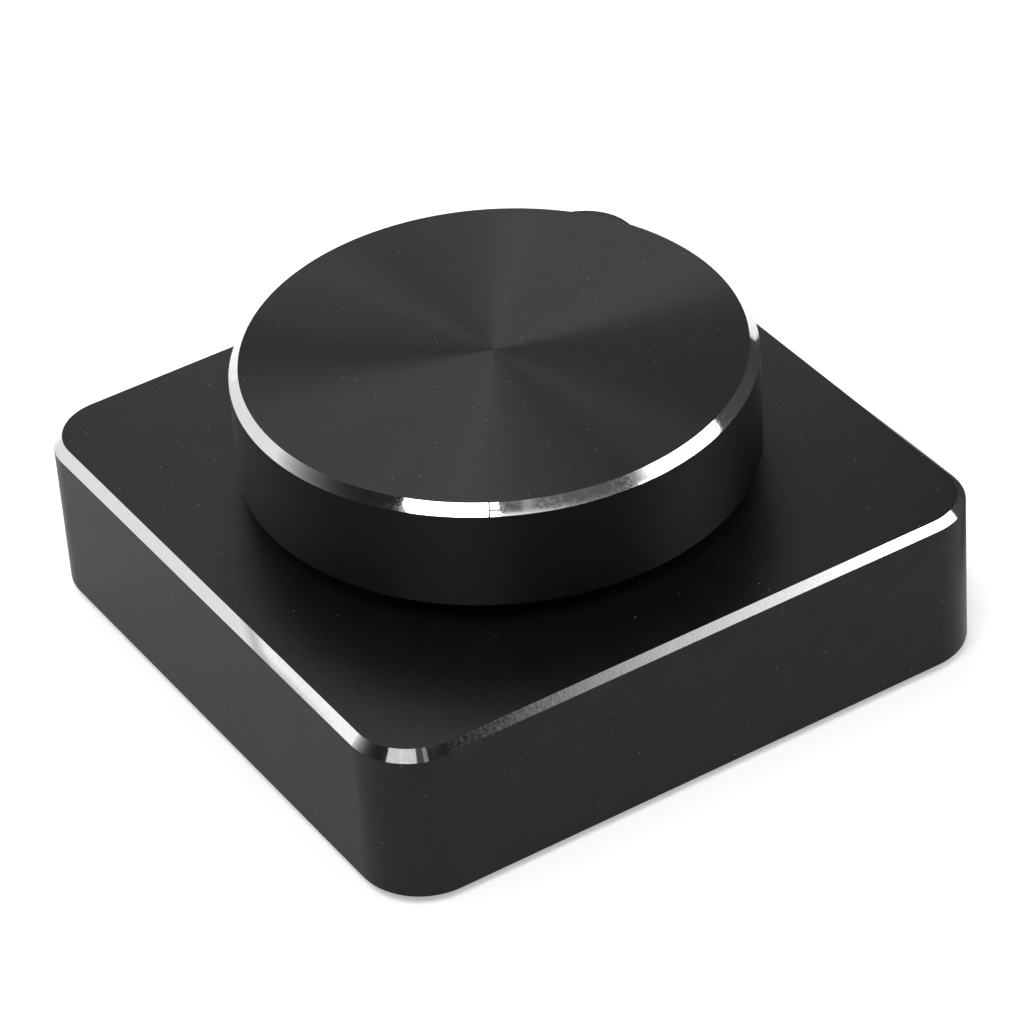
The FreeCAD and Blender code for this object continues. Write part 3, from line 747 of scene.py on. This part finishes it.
def screen_mesh(name, azimuths, elevations, radius, rise, lean):
    """A curved grid of faces, with its share of the width and the height as UV."""
    corners = []
    shares = []
    for row in range(SCREEN_STEPS + 1):
        for column in range(SCREEN_STEPS + 1):
            u = column / SCREEN_STEPS
            v = row / SCREEN_STEPS
            elevation = elevations[0] + (elevations[1] + rise * u - elevations[0]) * v
            azimuth = azimuths[0] + (azimuths[1] - azimuths[0]) * u + lean * (elevation - elevations[0])
            corners.append(direction(azimuth, elevation) * radius)
            shares.append((u, v))
    faces = []
    for row in range(SCREEN_STEPS):
        for column in range(SCREEN_STEPS):
            first = row * (SCREEN_STEPS + 1) + column
            above = first + SCREEN_STEPS + 1
            faces.append((first, first + 1, above + 1, above))
    mesh = bpy.data.meshes.new(name)
    mesh.from_pydata(corners, [], faces)
    layer = mesh.uv_layers.new(name="span")
    for loop in mesh.loops:
        layer.data[loop.index].uv = shares[loop.vertex_index]
    return mesh


def screen(name, azimuths, elevations, start, end=None, power=1.0, radius=SCREEN_RADIUS, rise=0.0, lean=0.0):
    """A glowing curved screen that spans those azimuths and elevations, hidden from the camera.

    Its level goes from start to end along its azimuth, or stays at start. Its top gains rise
    degrees along its azimuth, and its sides turn lean degrees for each degree of height.
    """
    mesh = screen_mesh(name, azimuths, elevations, radius, rise, lean)
    mesh.materials.append(screen_material(name, start, start if end is None else end, power))
    body = bpy.data.objects.new(name, mesh)
    bpy.context.scene.collection.objects.link(body)
    body.visible_camera = False
    return body


def make_studio():
    """Soft lamps and grey screens round the object."""
    soft_lamp("lamp_back", azimuth=142.3, elevation=55, width=25, height=30, level=3.0)
    screen("lamp_left", (-169.7, -123.7), (46, 78), 6.0)
    screen("lamp_left_low", (-169.7, -123.7), (36, 46.8), 0.75, radius=FRONT_RADIUS, rise=5.9)
    screen("lamp_left_end", (-123.7, -118.5), (36, 51.8), 0.75, radius=SLIT_RADIUS)
    screen("lamp_right", (-53, -16.5), (24, 50), 4.0)
    screen("left_screen", (190.3, 133.4), (0, 56), 0.02, 1.0, power=5.5)
    screen("strip_screen", (132.8, 134.3), (0, 24), 1.3, radius=FRONT_RADIUS)
    screen("camera_screen", (-123.7, -59.5), (0, 56), 0.02, radius=FRONT_RADIUS)
    screen("upper_screen", (-123.7, -57), (56, 53), 0.12, radius=INNER_RADIUS, rise=-8.4)
    screen("slit_screen", (-111, -106.4), (51.9, 56), 0.5, radius=SLIT_RADIUS)
    screen("low_slit_screen", (-106, -98.5), (46, 51.6), 0.3, radius=SLIT_RADIUS)
    screen("dim_screen", (-118.5, -106), (46, 51.6), 0.07, radius=SLIT_RADIUS)
    screen("fading_mask", (-74, -66.4), (38, 56), 0.02, radius=FRONT_RADIUS, lean=1.3)
    screen("fading_screen", (-65.6, -55.7), (38, 46), 0.03, 1.35, radius=INNER_RADIUS, lean=1.3)
    screen("right_screen", (-16.5, 26), (0, 32), 0.085, 0.05)
    screen("back_screen", (-10, 80), (32, 72), 0.02, 0.23)
    screen("back_low_screen", (26, 80), (5, 32), 0.3, 0.15)
    screen("top_screen", (-60, -10), (50, 64.7), 0.02)
    screen("near_high_screen", (47, 94.8), (44.7, 75.3), 2.83, radius=NEAR_RADIUS)
    screen("near_low_screen", (36, 84.6), (0, 27.7), 2.53, radius=NEAR_RADIUS)
    flag = screen("corner_flag", (-38, 8), (0, 21), 0.05, 1.2, power=6.0, radius=FLAG_RADIUS)
    flag.visible_diffuse = False
    flag.visible_shadow = False


def lift_floor(tree, shader):
    """Adds a little white for the camera and for reflections, so that the table reads as white."""
    path = put(tree, "ShaderNodeLightPath")
    seen = calc(tree, "MAXIMUM", path.outputs["Is Camera Ray"], path.outputs["Is Glossy Ray"])
    seen = calc(tree, "MAXIMUM", seen, path.outputs["Is Transmission Ray"])
    feed(tree, shader, "Emission Strength", calc(tree, "MULTIPLY", seen, FLOOR_LIFT))


def make_floor():
    """A white table that keeps the object's shadow."""
    half = FLOOR_SIZE / 2.0
    corners = [(-half, -half, 0), (half, -half, 0), (half, half, 0), (-half, half, 0)]
    mesh = bpy.data.meshes.new("floor")
    mesh.from_pydata(corners, [], [(0, 1, 2, 3)])
    material, tree, shader = new_finish("white_table", base_color=TABLE_WHITE, roughness=1.0,
                                        specular_ior_level=0.0, emission_color=WHITE)
    lift_floor(tree, shader)
    mesh.materials.append(material)
    floor = bpy.data.objects.new("floor", mesh)
    bpy.context.scene.collection.objects.link(floor)


def make_world():
    """A white tent that lights the object from all round."""
    world = bpy.data.worlds.new("white_tent")
    world.use_nodes = True
    tent = world.node_tree.nodes["Background"].inputs
    tent["Color"].default_value = (*WHITE, 1.0)
    tent["Strength"].default_value = 1.0
    bpy.context.scene.world = world


def camera_axes():
    """The camera's right, up and back directions, with its roll."""
    a = math.radians(CAMERA_AZIMUTH)
    e = math.radians(CAMERA_ELEVATION)
    roll = math.radians(CAMERA_ROLL)
    back = Vector((math.sin(a) * math.cos(e), -math.cos(a) * math.cos(e), math.sin(e)))
    level = Vector((math.cos(a), math.sin(a), 0.0))
    right = math.cos(roll) * level + math.sin(roll) * back.cross(level)
    return right, back.cross(right), back


def make_camera():
    """The camera at the photographed angle."""
    data = bpy.data.cameras.new("camera")
    data.lens = CAMERA_LENS
    data.sensor_width = CAMERA_SENSOR
    data.clip_start = 0.02
    data.clip_end = 50.0
    right, up, back = camera_axes()
    spot = Vector(CAMERA_TARGET) + back * CAMERA_DISTANCE
    turn = Matrix((right, up, back)).transposed().to_4x4()
    body = bpy.data.objects.new("camera", data)
    body.matrix_world = Matrix.Translation(spot) @ turn
    bpy.context.scene.collection.objects.link(body)
    bpy.context.scene.camera = body


def plain_view():
    """Colours go to the picture as they are rendered."""
    bpy.context.scene.view_settings.view_transform = "Standard"


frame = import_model()
dress(frame["nodes"], make_finishes(), frame["record"])
make_floor()
make_world()
make_studio()
make_camera()
plain_view()
